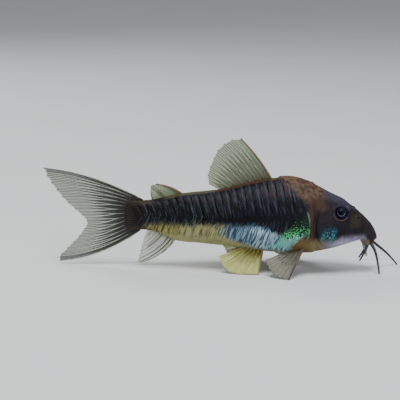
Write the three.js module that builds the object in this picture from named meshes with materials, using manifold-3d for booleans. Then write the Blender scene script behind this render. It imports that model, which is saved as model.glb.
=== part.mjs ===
// A bronze corydoras catfish at life size, resting on the floor on its paired fins and its barbels.
// Millimetres, +X towards the snout, +Y towards the fish's left side, +Z up. The floor is at z = 0.
import * as THREE from "three";
import { mergeVertices } from "three/addons/utils/BufferGeometryUtils.js";
import Module from "manifold-3d";

const wasm = await Module();
wasm.setup();
const DEG = Math.PI / 180;

// Driving dimensions of the whole fish.
const SNOUT_TIP = 38.0; // x of the foremost point of the snout
const STEM_END = -23.4; // x where the scaled tail stem ends, inside the tail fin's root
const NOSE_FROM = 36.3; // x from which the snout rounds off to its tip
const STEM_FROM = -21.6; // x from which the tail stem rounds off to its end
const GILL_CUT = 22.2; // x of the gill opening, where the head is parted from the trunk
const VENT_CUT = -9.6; // x just in front of the anal fin, where the trunk is parted from the tail stem
const GAP = 0.3; // what two touching pieces keep between them
const FLOOR_DIP = 0.12; // how far a resting fin or barbel is modelled into the floor before it is cut flat

// The outline of the body: [x, value] at a few stations, joined by smooth curves.
const BACK_HEIGHT = [
  [-24, 16.2], [-17, 16.4], [-9.3, 18.1], [0, 19.3], [7, 21.0], [13, 22.2], [17.5, 22.35],
  [21.7, 21.15], [26.5, 18.65], [30.2, 16.85], [33.8, 14.15], [36.3, 11.7], [38.4, 9.2],
];
const BELLY_HEIGHT = [
  [-24, 8.6], [-17.5, 8.9], [-14.5, 8.1], [-10.8, 6.5], [-5, 6.0], [2.5, 5.45], [10, 4.6],
  [17, 4.35], [23, 4.7], [28, 5.75], [32.8, 7.2], [34.6, 7.75], [36.3, 7.2], [38.4, 6.9],
];
const HALF_WIDTH = [
  [-24, 1.1], [-17, 2.25], [-9, 3.95], [0, 5.55], [8, 6.8], [15, 7.6], [20, 7.85],
  [25, 7.1], [29, 6.05], [33, 4.45], [36, 2.95], [38.4, 2.0],
];
const WIDEST_SHARE = [[-24, 0.5], [-8, 0.47], [5, 0.42], [18, 0.36], [28, 0.42], [38.4, 0.45]];
const UPPER_POWER = [[-24, 2.0], [-5, 1.8], [12, 1.72], [22, 1.9], [30, 2.25], [38.4, 2.1]];
const LOWER_POWER = [[-24, 2.0], [-8, 2.1], [8, 2.6], [22, 2.7], [32, 2.5], [38.4, 2.1]];
const LATERAL_LINE = [[-24, 12.7], [-9, 12.6], [0, 12.6], [10, 13.1], [22, 14.2]];
const RING_STEP = 2.3; // distance between the rings of the body's surface
const RING_SIDES = 28; // flats round each ring

// A smooth curve through [x, value] stations.
function profile(stations) {
  const xs = stations.map((s) => s[0]);
  const values = stations.map((s) => s[1]);
  const spline = new THREE.CubicInterpolant(xs, values, 1);
  return (x) => spline.evaluate(THREE.MathUtils.clamp(x, xs[0], xs.at(-1)))[0];
}

const backHeight = profile(BACK_HEIGHT);
const bellyHeight = profile(BELLY_HEIGHT);
const halfWidth = profile(HALF_WIDTH);
const widestShare = profile(WIDEST_SHARE);
const upperPower = profile(UPPER_POWER);
const lowerPower = profile(LOWER_POWER);
const lateralLine = profile(LATERAL_LINE);

// 1 along the body, falling to 0 as an ellipse does over each end.
function endRounding(x, lift) {
  const nose = (x - NOSE_FROM) / (SNOUT_TIP + lift - NOSE_FROM);
  const stem = (STEM_FROM - x) / (STEM_FROM - STEM_END + lift);
  const past = THREE.MathUtils.clamp(Math.max(nose, stem), 0, 1);
  return Math.sqrt(1 - past * past);
}

// A point of the skin: angle 0 is the left side, 90 degrees the back, 180 the right side and -90 the belly.
function skinPoint(x, angle, lift = 0) {
  const top = backHeight(x);
  const bottom = bellyHeight(x);
  const widest = bottom + (top - bottom) * widestShare(x);
  const round = endRounding(x, lift);
  const across = Math.cos(angle);
  const upward = Math.sin(angle);
  const power = 2 / (upward > 0 ? upperPower(x) : lowerPower(x));
  const reach = (upward > 0 ? top - widest : widest - bottom) + lift;
  const y = Math.sign(across) * Math.abs(across) ** power * (halfWidth(x) + lift) * round;
  const z = widest + Math.sign(upward) * Math.abs(upward) ** power * reach * round;
  return new THREE.Vector3(x, y, z);
}

// The angle at which the skin of the left side reaches a height.
function angleAt(x, height) {
  const top = backHeight(x);
  const bottom = bellyHeight(x);
  const widest = bottom + (top - bottom) * widestShare(x);
  const above = height > widest;
  const share = Math.abs(height - widest) / (above ? top - widest : widest - bottom);
  const sine = Math.min(1, share) ** ((above ? upperPower(x) : lowerPower(x)) / 2);
  return Math.asin(sine) * (above ? 1 : -1);
}

// The angle that mirrors one of the left side onto the side asked for: +1 left, -1 right.
const onSide = (angle, side) => (side > 0 ? angle : Math.PI - angle);

// Closed meshes from rows of points.

function geometryOf(points, triangles) {
  const geometry = new THREE.BufferGeometry().setFromPoints(points);
  return geometry.setIndex(triangles);
}

// A closed skin over rings of points, with a pole in the middle of each end.
function ringSkin(rings) {
  const sides = rings[0].length;
  const points = rings.flat();
  const triangles = [];
  for (let r = 0; r + 1 < rings.length; r++)
    for (let s = 0; s < sides; s++) {
      const a = r * sides + s;
      const b = r * sides + ((s + 1) % sides);
      triangles.push(a, b, a + sides, b, b + sides, a + sides);
    }
  const centre = (ring) => ring.reduce((sum, p) => sum.add(p), new THREE.Vector3()).divideScalar(sides);
  const first = points.push(centre(rings[0])) - 1;
  const last = points.push(centre(rings.at(-1))) - 1;
  const start = (rings.length - 1) * sides;
  for (let s = 0; s < sides; s++) {
    const next = (s + 1) % sides;
    triangles.push(first, next, s, last, start + s, start + next);
  }
  return geometryOf(points, triangles);
}

// A closed plate between two grids of points alike, split into triangles alike on both faces.
function plateBetween(outer, inner) {
  const rows = outer.length;
  const columns = outer[0].length;
  const points = [...outer.flat(), ...inner.flat()];
  const half = rows * columns;
  const triangles = [];
  const at = (r, c) => r * columns + c;
  for (let r = 0; r + 1 < rows; r++)
    for (let c = 0; c + 1 < columns; c++) {
      const [a, b, d, e] = [at(r, c), at(r, c + 1), at(r + 1, c), at(r + 1, c + 1)];
      triangles.push(a, b, e, a, e, d);
      triangles.push(half + a, half + e, half + b, half + a, half + d, half + e);
    }
  const wall = (a, b) => triangles.push(a, half + a, half + b, a, half + b, b);
  for (let c = 0; c + 1 < columns; c++) {
    wall(at(0, c), at(0, c + 1));
    wall(at(rows - 1, c + 1), at(rows - 1, c));
  }
  for (let r = 0; r + 1 < rows; r++) {
    wall(at(r + 1, 0), at(r, 0));
    wall(at(r, columns - 1), at(r + 1, columns - 1));
  }
  return geometryOf(points, triangles);
}

// Solids, joined and cut.

function solid(geometry) {
  const bare = geometry.index ? geometry.toNonIndexed() : geometry.clone();
  for (const name of ["normal", "uv"]) bare.deleteAttribute(name);
  const merged = mergeVertices(bare, 1e-4);
  const made = new wasm.Manifold(
    new wasm.Mesh({
      numProp: 3,
      vertProperties: merged.attributes.position.array,
      triVerts: new Uint32Array(merged.index.array),
    }),
  );
  if (made.volume() >= 0) return made;
  const flipped = merged.index.array.slice();
  for (let i = 0; i < flipped.length; i += 3)
    [flipped[i + 1], flipped[i + 2]] = [flipped[i + 2], flipped[i + 1]];
  return new wasm.Manifold(
    new wasm.Mesh({
      numProp: 3,
      vertProperties: merged.attributes.position.array,
      triVerts: new Uint32Array(flipped),
    }),
  );
}

const join = (solids) => wasm.Manifold.union(solids);

function box(low, high) {
  const size = high.map((h, i) => h - low[i]);
  const middle = high.map((h, i) => (h + low[i]) / 2);
  return solid(new THREE.BoxGeometry(...size).translate(...middle));
}

function ball(radius, [x, y, z], [sx, sy, sz] = [1, 1, 1], segments = 20) {
  const sphere = new THREE.SphereGeometry(radius, segments, Math.round(segments * 0.7));
  return solid(sphere.scale(sx, sy, sz).translate(x, y, z));
}

// The largest closed surface of a solid, with its hollows filled.
function largest(made) {
  return made.decompose().sort((a, b) => b.volume() - a.volume())[0];
}

const FAR = 60;
const floorSlab = box([-FAR, -FAR, -FAR], [FAR, FAR, 0]);
const material = (colour, roughness) =>
  new THREE.MeshStandardMaterial({ color: colour, roughness, metalness: 0 });
const DARK_FLANK = material(0x23242c, 0.4);
const BROWN_HEAD = material(0x4d3f3e, 0.42);
const PALE_FIN = material(0x8f9a86, 0.45);
const YELLOW_FIN = material(0xb9b56c, 0.45);
const BARBEL_SKIN = material(0x2e3240, 0.5);
const EYE_GLOSS = material(0x14151f, 0.12);

const fish = new THREE.Group();

// Puts a solid in the fish as a named mesh, cut flat where it reaches the floor.
function addNode(name, made, finish) {
  const resting = largest(made.subtract(floorSlab));
  const mesh = resting.getMesh();
  const corners = [];
  for (let i = 0; i < mesh.vertProperties.length; i += mesh.numProp)
    corners.push(new THREE.Vector3(...mesh.vertProperties.subarray(i, i + 3)));
  const node = new THREE.Mesh(geometryOf(corners, [...mesh.triVerts]), finish);
  node.name = name;
  fish.add(node);
}

// The body's core: one smooth skin from the tail stem to the snout, a little lower where the scutes lie.
const SCUTE_BED = 0.2;
const bedDepth = (x, bed) => bed * THREE.MathUtils.smoothstep(20.5 - x, 0, 2) * endRounding(x, 0);
function bodyCore(lift = 0, bed = SCUTE_BED) {
  const start = STEM_END - lift;
  const end = SNOUT_TIP + lift;
  const stops = [start + 0.03, start + 0.4, start + 1.2];
  for (let x = STEM_FROM; x < NOSE_FROM; x += RING_STEP) stops.push(x);
  const roundings = 5;
  for (let i = 0; i < roundings; i++)
    stops.push(NOSE_FROM + (end - NOSE_FROM) * Math.sin((90 * DEG * (i + 0.5)) / roundings));
  const ring = (x) =>
    Array.from({ length: RING_SIDES }, (_, s) => {
      const angle = (s / RING_SIDES) * 360 * DEG;
      return skinPoint(x, angle, lift - bedDepth(x, bed));
    });
  return solid(ringSkin(stops.map(ring)));
}

// Bony scutes: two rows on each flank, each plate rising to a free rear edge over the next one's front.
const SCUTE_RISE = 0.34;
const SCUTE_ROOT = 0.65; // how deep a plate's inner face is sunk in the body
const SCUTE_OVERLAP = 0.5;
const ROW_LAP = 0.35; // how far the upper row reaches down over the lower one
const UPPER_ROW = { first: 20.4, last: -20.1, count: 22, slant: 2.0, bulge: 0.3 };
const LOWER_ROW = { first: 17.2, last: -20.1, count: 20, slant: 2.0, bulge: 0.3 };
const BACK_STRIP = 1.0; // half width of the bare strip along the back, where the fins stand
const BELLY_EDGE = [[-24, 9.0], [-18, 9.6], [-10.5, 7.3], [0, 6.6], [8, 6.2], [18, 6.4]];
const bellyEdge = profile(BELLY_EDGE);

// A plate on the skin: x and angle at its four corners come from functions of the share across it.
function skinPlate({ front, rear, angle, steps, rise, frontRise = -0.12, root = SCUTE_ROOT }) {
  const row = (edge, lift) =>
    Array.from({ length: steps + 1 }, (_, i) => {
      const share = i / steps;
      const x = edge(share);
      return skinPoint(x, angle(x, share), typeof lift === "function" ? lift(share) : lift);
    });
  return solid(
    plateBetween([row(front, frontRise), row(rear, rise)], [row(front, -root), row(rear, -root)]),
  );
}

// The angle where the bare strip of the back begins on the left side.
function stripAngle(x) {
  const share = Math.min(0.95, BACK_STRIP / halfWidth(x));
  return Math.acos(share ** (upperPower(x) / 2));
}

function scuteRow(row, side, isUpper) {
  const pitch = (row.first - row.last) / row.count;
  const plates = [];
  for (let i = 0; i < row.count; i++) {
    const begin = row.first - i * pitch;
    const bend = (share) => -row.slant * share ** 1.4;
    const lowEnd = (x) => angleAt(x, lateralLine(x) - (isUpper ? ROW_LAP : 0));
    const farEnd = (x) => (isUpper ? stripAngle(x) : angleAt(x, bellyEdge(x)));
    plates.push(
      skinPlate({
        front: (share) => begin + SCUTE_OVERLAP + bend(share),
        rear: (share) => begin - pitch + bend(share) - row.bulge * Math.sin(Math.PI * share),
        angle: (x, share) => onSide(THREE.MathUtils.lerp(lowEnd(x), farEnd(x), share), side),
        steps: isUpper ? 3 : 2,
        frontRise: 0.02,
        rise: (share) => SCUTE_RISE * (0.3 + 0.7 * Math.min(1, 4 * share, 5 * (1 - share))),
      }),
    );
  }
  return plates;
}

const bothSides = [1, -1];
const sideName = (side) => (side > 0 ? "left" : "right");
const scutes = bothSides.flatMap((side) => [
  ...scuteRow(UPPER_ROW, side, true),
  ...scuteRow(LOWER_ROW, side, false),
]);

// Shoulder plate behind the gill opening: broad over the pectoral fin, drawn back along the belly.
const SHOULDER_RISE = 0.42;
function shoulderPlate(side) {
  const [lowest, highest] = [5.2, 17.2];
  const height = (share) => THREE.MathUtils.lerp(lowest, highest, share);
  return skinPlate({
    front: () => GILL_CUT + 0.6,
    rear: (share) => 19.4 - 4.6 * (1 - share) ** 3 + 1.1 * share ** 2,
    angle: (x, share) => onSide(angleAt(x, height(share)), side),
    steps: 6,
    rise: SHOULDER_RISE,
    frontRise: 0.2,
  });
}

// Shield on the nape, from the gill opening to the dorsal spine.
function napeShield() {
  const halfAngle = 30 * DEG;
  return skinPlate({
    front: () => GILL_CUT + 0.6,
    rear: (share) => 14.0 + 3.4 * Math.abs(2 * share - 1) ** 1.5,
    angle: (x, share) => 90 * DEG + halfAngle * (2 * share - 1),
    steps: 6,
    rise: 0.38,
    frontRise: 0.25,
  });
}

// Roof of the skull, a low shield between and behind the eyes.
function skullRoof() {
  return skinPlate({
    front: (share) => 31.0 - 1.6 * Math.abs(2 * share - 1) ** 2,
    rear: () => GILL_CUT - 0.6,
    angle: (x, share) => (90 + THREE.MathUtils.mapLinear(x, 22, 31, 46, 30) * (2 * share - 1)) * DEG,
    steps: 5,
    rise: 0.25,
    frontRise: -0.1,
  });
}

// Gill cover: a rounded plate on the cheek whose free rear edge stands off the gill opening.
function gillCover(side) {
  const [lowest, highest] = [7.3, 15.6];
  const height = (share) => THREE.MathUtils.lerp(lowest, highest, share);
  return skinPlate({
    front: (share) => 28.2 - 3.0 * share,
    rear: (share) => 23.3 + 1.5 * Math.abs(2 * share - 1) ** 2.2,
    angle: (x, share) => onSide(angleAt(x, height(share)), side),
    steps: 5,
    rise: (share) => 0.5 - 0.2 * Math.abs(2 * share - 1),
    frontRise: -0.05,
  });
}

// A round tapering rod along a smooth curve, closed at both ends.
function rod(points, radiusAt, { sides = 8, steps = 8 } = {}) {
  const curve = new THREE.CatmullRomCurve3(points.map((p) => new THREE.Vector3(...p)));
  const frames = curve.computeFrenetFrames(steps, false);
  const rings = Array.from({ length: steps + 1 }, (_, i) => {
    const share = i / steps;
    const centre = curve.getPointAt(share);
    return Array.from({ length: sides }, (_, s) => {
      const turn = (s / sides) * 360 * DEG;
      const point = centre.clone();
      point.addScaledVector(frames.normals[i], Math.cos(turn) * radiusAt(share));
      return point.addScaledVector(frames.binormals[i], Math.sin(turn) * radiusAt(share));
    });
  });
  return solid(ringSkin(rings));
}

// Eyes, high on the sides of the head.
const EYE_X = 29.4;
const EYE_HEIGHT = 14.75;
const EYE_RADIUS = 1.9;
const EYE_SUNK = 1.25; // how far the eyeball's centre lies inside the skin
const ORBIT_RIM = 0.22; // thickness of the raised ring of skin round the eye

function eyeCentre(side) {
  const angle = angleAt(EYE_X, EYE_HEIGHT);
  const out = skinPoint(EYE_X, angle);
  const tilt = 24 * DEG;
  out.y -= EYE_SUNK * Math.cos(tilt);
  out.z -= EYE_SUNK * Math.sin(tilt);
  return [out.x, out.y * side, out.z];
}

// A low ring on the skin, such as the rim of an eye socket or of a nostril.
function skinRing({ x, height, radius }, side, tube, segments) {
  const onSkin = (px, pz) => skinPoint(px, angleAt(px, pz));
  const centre = onSkin(x, height);
  const angle = angleAt(x, height);
  const normal = new THREE.Vector3(0, Math.cos(angle), Math.sin(angle));
  const rings = Array.from({ length: segments }, (_, i) => {
    const turn = (i / segments) * 360 * DEG;
    const middle = onSkin(x + radius * Math.cos(turn), height + radius * 0.9 * Math.sin(turn));
    const outward = middle.clone().sub(centre).normalize();
    return Array.from({ length: 4 }, (_, k) => {
      const point = middle.clone();
      point.addScaledVector(outward, tube * Math.cos(k * 90 * DEG));
      point.addScaledVector(normal, tube * Math.sin(k * 90 * DEG));
      return point.setY(point.y * side);
    });
  });
  return solid(loopSkin(rings));
}

// A closed skin over rings of points that run round a loop.
function loopSkin(rings) {
  const sides = rings[0].length;
  const triangles = [];
  rings.forEach((_, r) => {
    const next = (r + 1) % rings.length;
    for (let s = 0; s < sides; s++) {
      const t = (s + 1) % sides;
      const [a, b, c, d] = [r * sides + s, r * sides + t, next * sides + s, next * sides + t];
      triangles.push(a, b, c, b, d, c);
    }
  });
  return geometryOf(rings.flat(), triangles);
}

// Nostrils: a front and a rear pit on each side, each with a low rim, and a flap of skin between them.
const NOSTRILS = [
  { x: 33.5, height: 13.35, radius: 0.42 },
  { x: 31.95, height: 15.0, radius: 0.38 },
];
const NOSTRIL_RIM = 0.17;
const NOSTRIL_FLAP = { x: 32.5, height: 14.7, radius: 0.45 };

const placeOnSide = ({ x, height }, side, lift) => {
  const point = skinPoint(x, angleAt(x, height), lift);
  return [point.x, point.y * side, point.z];
};
const nostrilPit = (nostril, side) =>
  ball(nostril.radius * 0.72, placeOnSide(nostril, side, -0.05), [1, 1, 1], 8);
const nostrilFlap = (side) =>
  ball(NOSTRIL_FLAP.radius, placeOnSide(NOSTRIL_FLAP, side, 0.12), [0.55, 1.1, 1.1], 8);

// Mouth: underslung, with a fleshy lower lip that bends back under the snout and a slit above it.
const LIP_CORNER = [35.6, 1.9, 6.95];
const LIP_FRONT = 34.35; // x of the middle of the lower lip
const LIP_RADIUS = 0.52;

function lowerLip(lift = 0) {
  const [x, y, z] = LIP_CORNER;
  const bend = (side) => [LIP_FRONT + 0.5, y * 0.72 * side, z - 0.05];
  const path = [[x, -y, z], bend(-1), [LIP_FRONT, 0, z - 0.1], bend(1), [x, y, z]];
  const radius = (share) => LIP_RADIUS * (0.75 + 0.4 * Math.sin(Math.PI * share)) + lift;
  return rod(path, radius, { sides: 6, steps: 8 });
}
const mouthSlit = () => ball(1, [35.55, 0, 7.0], [0.7, 1.55, 0.75], 10);

// Fleshy lobe at each corner of the mouth, from which the barbels grow.
const cornerLobe = (side, lift = 0) =>
  ball(1, [36.1, 1.75 * side, 7.0], [1.05 + lift, 0.75 + lift, 0.7 + lift], 10);

const socket = (side) => ball(EYE_RADIUS + GAP * 1.2, eyeCentre(side), [1, 1, 1], 14);
const orbitRim = (side) => skinRing({ x: EYE_X, height: EYE_HEIGHT, radius: 1.72 }, side, ORBIT_RIM, 14);
const raisedOnHead = (side) => [
  gillCover(side),
  cornerLobe(side),
  orbitRim(side),
  nostrilFlap(side),
  ...NOSTRILS.map((nostril) => skinRing(nostril, side, NOSTRIL_RIM, 8)),
];
const cutFromHead = (side) => [socket(side), ...NOSTRILS.map((nostril) => nostrilPit(nostril, side))];

// The whole body, then its three lengths, parted by thin cuts.
const core = bodyCore();
const shoulders = bothSides.map((side) => shoulderPlate(side));
const body = join([core, ...scutes, ...shoulders, napeShield()]);
const before = (x) => box([x, -FAR, -FAR], [FAR, FAR, FAR]);
const behind = (x) => box([-FAR, -FAR, -FAR], [x, FAR, FAR]);
const trunk = body.subtract(before(GILL_CUT - GAP / 2)).subtract(behind(VENT_CUT + GAP / 2));
const tailStem = body.subtract(before(VENT_CUT - GAP / 2));
const headCore = core.subtract(behind(GILL_CUT + GAP / 2));
const head = join([headCore, skullRoof(), lowerLip(), ...bothSides.flatMap(raisedOnHead)])
  .subtract(behind(GILL_CUT + GAP / 2))
  .subtract(join([mouthSlit(), ...bothSides.flatMap(cutFromHead)]));

addNode("head", head, BROWN_HEAD);
addNode("trunk", trunk, DARK_FLANK);
addNode("tail_stem", tailStem, DARK_FLANK);
for (const side of bothSides)
  addNode(`eye_${sideName(side)}`, ball(EYE_RADIUS, eyeCentre(side), [1, 1, 1], 14), EYE_GLOSS);

// What the fins and barbels are cut back from, so that each ends face to face with the body.
const bodyWithGap = bodyCore(GAP);
const shoulderWithGap = bodyCore(SHOULDER_RISE / 2 + GAP, 0);
const mouthWithGap = join([lowerLip(GAP), ...bothSides.map((side) => cornerLobe(side, GAP))]);

// Thicknesses of the fins: a ray's crest, the skin between rays, and what is left of them at the margin.
const RAY_THICK = 0.9;
const WEB_THICK = 0.5;
const MARGIN_SHARE = 0.65;
const WEB_REACH = 0.985; // how far the skin between rays reaches, as a share of the rays' length
const RAY_FLANK = 0.2; // half width of a ray's ridge, as a share of the distance between rays

// The middle surface of a fin: a point for a share from the first ray to the last and one along them.
function finSurface({ roots, tips, normal, bow = [0, 0] }) {
  const curveOf = (list) => new THREE.CatmullRomCurve3(list.map((p) => new THREE.Vector3(...p)));
  const rootCurve = curveOf(roots);
  const tipCurve = curveOf(tips);
  const facing = new THREE.Vector3(...normal).normalize();
  return (share, along) => {
    const root = rootCurve.getPointAt(share);
    const tip = tipCurve.getPointAt(share);
    const sideways = facing.clone().cross(tip.clone().sub(root)).normalize();
    const bulge = THREE.MathUtils.lerp(bow[0], bow[1], share) * 4 * along * (1 - along);
    return root.lerp(tip, along).addScaledVector(sideways, bulge);
  };
}

// A fin: skin between two curves, with a ridge on both faces along each ray.
function fin({ rays, spine = 1, steps = 5, flank = RAY_FLANK, ...shape }) {
  const surface = finSurface(shape);
  const columns = [];
  for (let r = 0; r < rays; r++) {
    const crest = r / (rays - 1);
    const thick = RAY_THICK * (r === 0 ? spine : 1);
    const width = (flank * (r === 0 ? spine : 1)) / (rays - 1);
    if (r > 0) columns.push({ share: crest - width, thick: WEB_THICK, reach: WEB_REACH });
    columns.push({ share: crest, thick, reach: 1 });
    if (r < rays - 1) columns.push({ share: crest + width, thick: WEB_THICK, reach: WEB_REACH });
  }
  const middle = columns.map(({ share, reach }) =>
    Array.from({ length: steps + 1 }, (_, i) => surface(share, (i / steps) * reach)),
  );
  const faceNormal = (c, i) => {
    const across = middle[Math.min(columns.length - 1, c + 1)][i].clone();
    const onward = middle[c][Math.min(steps, i + 1)].clone();
    across.sub(middle[Math.max(0, c - 1)][i]);
    onward.sub(middle[c][Math.max(0, i - 1)]);
    return across.cross(onward).normalize();
  };
  const face = (sign) =>
    columns.map(({ thick }, c) =>
      middle[c].map((point, i) => {
        const thinning = 1 - (1 - MARGIN_SHARE) * (i / steps) ** 2;
        return point.clone().addScaledVector(faceNormal(c, i), (sign * thick * thinning) / 2);
      }),
    );
  return solid(plateBetween(face(1), face(-1)));
}

const MEDIAN = [0, 1, 0];

// Dorsal fin: a stout spine and seven rays, raised.
const dorsalFin = fin({
  roots: [[12.9, 0, 21.0], [6, 0, 19.9], [1.2, 0, 18.6]],
  tips: [
    [5.0, 0, 31.7], [2.4, 0, 31.3], [-0.4, 0, 29.2],
    [-2.1, 0, 25.8], [-3.0, 0, 22.8], [-2.7, 0, 20.5],
  ],
  normal: MEDIAN,
  bow: [0.5, 0],
  rays: 8,
  spine: 1.35,
});
addNode("dorsal_fin", dorsalFin.subtract(bodyWithGap), PALE_FIN);

// Adipose fin: a short spine with a rounded web of skin behind it.
const adiposeFin = fin({
  roots: [[-8.6, 0, 17.4], [-13, 0, 16.0], [-16.5, 0, 15.4]],
  tips: [[-15.6, 0, 20.3], [-16.9, 0, 19.8], [-17.0, 0, 18.4]],
  normal: MEDIAN,
  bow: [0.6, 0],
  rays: 3,
  spine: 1.3,
  flank: 0.3,
  steps: 4,
});
addNode("adipose_fin", adiposeFin.subtract(bodyWithGap), PALE_FIN);

// Tail fin: two lobes of rays, forked between them.
const tailFin = fin({
  roots: [[-18.9, 0, 16.3], [-22.0, 0, 15.3], [-22.9, 0, 12.7], [-22.0, 0, 10.0], [-19.6, 0, 8.9]],
  tips: [
    [-43.4, 0, 24.0], [-41.9, 0, 20.9], [-37.9, 0, 15.9], [-33.3, 0, 11.7], [-32.7, 0, 10.6],
    [-34.2, 0, 7.9], [-37.6, 0, 4.2], [-39.9, 0, 1.7], [-39.6, 0, 0.75],
  ],
  normal: MEDIAN,
  bow: [1.4, -1.6],
  rays: 15,
  steps: 6,
});
addNode("tail_fin", tailFin.subtract(bodyWithGap), PALE_FIN);

// Anal fin: short, its tip held just off the floor.
const analFin = fin({
  roots: [[-10.6, 0, 7.3], [-14.2, 0, 8.8], [-17.4, 0, 9.8]],
  tips: [
    [-19.2, 0, 0.8], [-20.2, 0, 0.75], [-20.0, 0, 2.4],
    [-19.3, 0, 4.8], [-18.6, 0, 7.0], [-18.2, 0, 7.9],
  ],
  normal: MEDIAN,
  bow: [-1.0, 0],
  rays: 7,
  spine: 1.1,
});
addNode("anal_fin", analFin.subtract(bodyWithGap), PALE_FIN);

const mirrored = (points, side) => points.map(([x, y, z]) => [x, y * side, z]);

// Pectoral fins: a stout spine propped on the floor and a fan of rays trailing behind it.
const PECTORAL_ROOT = [[21.2, 5.4, 7.9], [19.8, 5.6, 6.6], [18.3, 5.2, 5.8]];
const PECTORAL_TIPS = [
  [17.2, 13.6, -FLOOR_DIP], [15.6, 13.1, -FLOOR_DIP], [14.1, 12.2, 0.6], [12.7, 11.0, 1.8], [11.5, 9.3, 3.9],
];
// Pelvic fins: spread like fans, their outer margins resting on the floor.
const PELVIC_ROOT = [[10.6, 3.2, 6.2], [9.4, 3.1, 6.3], [7.9, 2.9, 6.4]];
const PELVIC_TIPS = [
  [9.8, 8.7, -FLOOR_DIP], [7.0, 8.8, -FLOOR_DIP], [4.4, 8.4, -FLOOR_DIP], [1.6, 7.6, 1.4], [0.2, 6.6, 4.0],
];
for (const side of bothSides) {
  const pectoral = fin({
    roots: mirrored(PECTORAL_ROOT, side),
    tips: mirrored(PECTORAL_TIPS, side),
    normal: [0.5, 0.5 * side, -0.6],
    rays: 8,
    spine: 1.45,
  });
  addNode(`pectoral_fin_${sideName(side)}`, pectoral.subtract(shoulderWithGap), PALE_FIN);
  const pelvic = fin({
    roots: mirrored(PELVIC_ROOT, side),
    tips: mirrored(PELVIC_TIPS, side),
    normal: [0.4, -0.5 * side, 0.7],
    rays: 6,
  });
  addNode(`pelvic_fin_${sideName(side)}`, pelvic.subtract(bodyWithGap), YELLOW_FIN);
}

// Barbels: an upper and a lower one at each corner of the mouth, and a pair under the chin.
const BARBEL_ROOT_RADIUS = 0.5;
const BARBEL_TIP_RADIUS = 0.27;
const barbelRadius = (share) =>
  THREE.MathUtils.lerp(BARBEL_ROOT_RADIUS, BARBEL_TIP_RADIUS, share ** 0.7);
const BARBELS = {
  upper_barbel_left: [[36.4, 1.9, 7.1], [38.0, 3.2, 5.6], [40.6, 4.6, 3.2], [43.15, 6.0, 0.14]],
  upper_barbel_right: [[36.4, -1.9, 7.1], [37.5, -3.0, 5.4], [38.2, -4.2, 2.8], [38.6, -5.1, 0.12]],
  lower_barbel_left: [[35.8, 2.0, 6.8], [35.5, 3.3, 5.2], [34.7, 4.3, 3.5], [33.8, 4.8, 2.0]],
  lower_barbel_right: [[35.8, -2.0, 6.8], [35.3, -3.0, 5.4], [34.6, -3.6, 4.2], [33.9, -3.9, 3.0]],
  chin_barbel_left: [[34.8, 0.9, 6.6], [35.1, 1.05, 5.2], [35.6, 1.3, 3.6]],
  chin_barbel_right: [[34.8, -0.9, 6.6], [35.1, -1.05, 5.2], [35.6, -1.3, 3.6]],
};
for (const [name, points] of Object.entries(BARBELS)) {
  const barbel = rod(points, barbelRadius, { sides: 8, steps: points.length > 3 ? 8 : 5 });
  addNode(name, barbel.subtract(bodyWithGap).subtract(mouthWithGap), BARBEL_SKIN);
}

export default fish;
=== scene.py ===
import bmesh
import bpy
import numpy as np
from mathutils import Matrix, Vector


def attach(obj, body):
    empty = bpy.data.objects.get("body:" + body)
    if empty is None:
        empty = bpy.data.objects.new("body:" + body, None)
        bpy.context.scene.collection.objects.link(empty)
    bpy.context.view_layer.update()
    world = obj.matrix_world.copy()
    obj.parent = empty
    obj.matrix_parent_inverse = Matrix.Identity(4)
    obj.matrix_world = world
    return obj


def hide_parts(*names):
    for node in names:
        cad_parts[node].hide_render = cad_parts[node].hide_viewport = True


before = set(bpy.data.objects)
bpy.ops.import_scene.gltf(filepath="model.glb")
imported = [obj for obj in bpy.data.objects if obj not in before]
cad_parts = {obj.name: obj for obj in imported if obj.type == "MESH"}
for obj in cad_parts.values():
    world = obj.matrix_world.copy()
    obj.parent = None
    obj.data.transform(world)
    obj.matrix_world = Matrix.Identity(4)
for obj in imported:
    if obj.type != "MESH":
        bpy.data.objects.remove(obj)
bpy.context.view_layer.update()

# --- Camera -------------------------------------------------------------------------------------
# The fish is seen from its right side, a little ahead of square and from ten degrees above.
# A long lens at 40 cm, so that the near and far fins keep the sizes they have in life.
MM = 0.001
AZIMUTH, ELEVATION = np.radians(5.0), np.radians(10.0)
AIM = np.array([-4.9, 0.0, 16.5])
DISTANCE = 400.0
FRAME_WIDTH = 97.2  # millimetres across the picture at the fish
SENSOR = 36.0
level = np.cos(ELEVATION)
back = np.array([np.sin(AZIMUTH) * level, -np.cos(AZIMUTH) * level, np.sin(ELEVATION)])
lens = bpy.data.cameras.new("camera")
lens.sensor_width = SENSOR
lens.lens = SENSOR * DISTANCE / FRAME_WIDTH
lens.clip_start, lens.clip_end = 0.01, 20.0
camera = bpy.data.objects.new("camera", lens)
camera.location = Vector((AIM + DISTANCE * back) * MM)
camera.rotation_mode = "QUATERNION"
camera.rotation_quaternion = Vector(-back).to_track_quat("-Z", "Y")
bpy.context.scene.collection.objects.link(camera)
bpy.context.scene.camera = camera

# --- Floor and light ----------------------------------------------------------------------------
# A plain pale studio floor that rises gently far off all round, three soft lamps and a pale room.
# The floor's finish is matt paint with a faint unevenness.


def rgb(red, green, blue):
    """A colour given as it looks on a screen, 0 to 255, in the light values that Blender mixes."""
    share = np.array([red, green, blue]) / 255.0
    light = np.where(share <= 0.04045, share / 12.92, ((share + 0.055) / 1.055) ** 2.4)
    return (*[float(v) for v in light], 1.0)


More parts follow.
